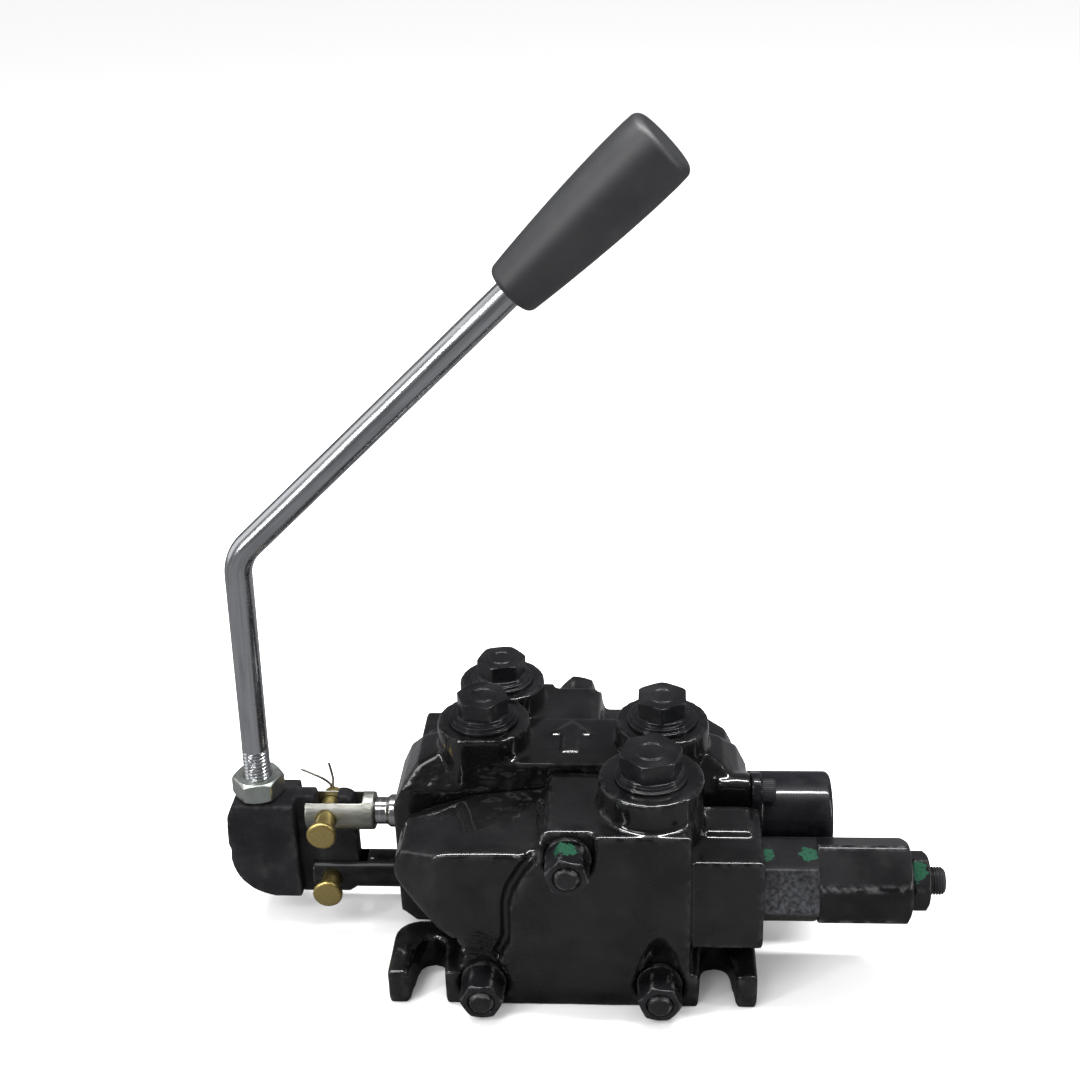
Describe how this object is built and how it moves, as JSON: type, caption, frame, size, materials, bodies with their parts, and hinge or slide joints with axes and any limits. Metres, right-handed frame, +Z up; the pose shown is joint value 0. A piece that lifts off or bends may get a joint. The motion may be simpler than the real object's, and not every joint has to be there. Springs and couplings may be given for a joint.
{
  "type": "hydraulic stack valve",
  "caption": "Hand-operated hydraulic directional valve built from bolted sections, with an adjustable relief cartridge, a spring-centred spool and a bent lever.",
  "frame": {"origin": "on the mounting plane, under the spool axis and midway between the feet", "axes": "+Z up, +X along the spool from the lever to the spring cap, -Y towards the inlet section's front face"},
  "size_m": [0.3382, 0.1588, 0.3879],
  "materials": {
    "black_enamel": "thick glossy black enamel over a sand casting",
    "black_plug": "satin black painted steel",
    "black_fastener": "gloss black over steel",
    "relief_steel": "worn black oxide, bare on the edges",
    "seal_rubber": "nitrile rubber",
    "ground_steel": "ground and hardened",
    "spring_steel": "oiled spring wire",
    "yellow_zinc": "yellow chromated zinc, brass coloured",
    "dark_wire": "dull steel wire",
    "bright_zinc": "bright zinc plate",
    "matte_black": "matte black paint on a casting",
    "grip_plastic": "moulded, fine satin texture"
  },
  "bodies": {
    "valve_body": {"inlet_section": "black_enamel", "work_section": "black_enamel", "outlet_section": "black_enamel", "inlet_port_plug": "black_plug", "work_port_plug_left": "black_plug", "work_port_plug_right": "black_plug", "outlet_port_plug": "black_plug", "port_plug_o_rings": "seal_rubber", "section_seal_rings": "seal_rubber", "tie_rods": "black_fastener", "tie_rod_nuts_front": "black_fastener", "tie_rod_nuts_rear": "black_fastener", "tie_rod_washers": "black_fastener", "relief_body": "relief_steel", "relief_bonnet": "black_enamel", "relief_jam_nut": "black_fastener", "relief_o_ring": "seal_rubber", "relief_spring": "spring_steel", "relief_spring_button": "ground_steel", "spring_cap": "black_enamel", "spring_cap_screws": "black_fastener", "spring_cap_seal": "seal_rubber", "spool_seal_rings": "seal_rubber", "load_check_spring": "spring_steel", "pivot_lug": "black_enamel", "clevis_pin_lower": "yellow_zinc", "cotter_lower": "dark_wire"},
    "spool_group": {"spool": "ground_steel", "spool_bolt": "black_fastener", "spring_seat_inner": "ground_steel", "spring_seat_outer": "ground_steel", "centring_spring": "spring_steel", "spool_clevis": "bright_zinc", "clevis_pin_upper": "yellow_zinc", "cotter_upper": "dark_wire"},
    "lever": {"handle_bracket": "matte_black", "lever_rod": "bright_zinc", "lever_jam_nut": "bright_zinc", "grip": "grip_plastic"},
    "relief_poppet_body": {"relief_poppet": "ground_steel"},
    "relief_screw": {"relief_adjusting_screw": "black_fastener"},
    "load_check": {"load_check_poppet": "ground_steel"}
  },
  "joints": [
    {"name": "lever_swing", "type": "hinge", "parent": "valve_body", "child": "lever", "pos_m": [-0.1205, 0, 0.0225], "axis": [0, 1, 0], "range_deg": [-11, 11], "stiffness_Nm_per_rad": 40},
    {"name": "spool_slide", "type": "slide", "parent": "valve_body", "child": "spool_group", "axis": [1, 0, 0], "range_m": [-0.0068, 0.0068]},
    {"name": "relief_lift", "type": "slide", "parent": "valve_body", "child": "relief_poppet_body", "axis": [1, 0, 0], "range_m": [0, 0.0018], "stiffness_N_per_m": 2000, "springref_m": -0.002, "deforming": ["relief_spring"]},
    {"name": "relief_screw_turn", "type": "hinge", "parent": "valve_body", "child": "relief_screw", "pos_m": [0.15, -0.046, 0.054], "axis": [1, 0, 0], "range_deg": [-180, 180]},
    {"name": "check_lift", "type": "slide", "parent": "valve_body", "child": "load_check", "axis": [0, 1, 0], "range_m": [0, 0.003], "stiffness_N_per_m": 300, "springref_m": -0.003, "deforming": ["load_check_spring"]}
  ],
  "couplings": [
    {"joint": "spool_slide", "follows": "lever_swing", "m_per_rad": 0.0345}
  ]
}
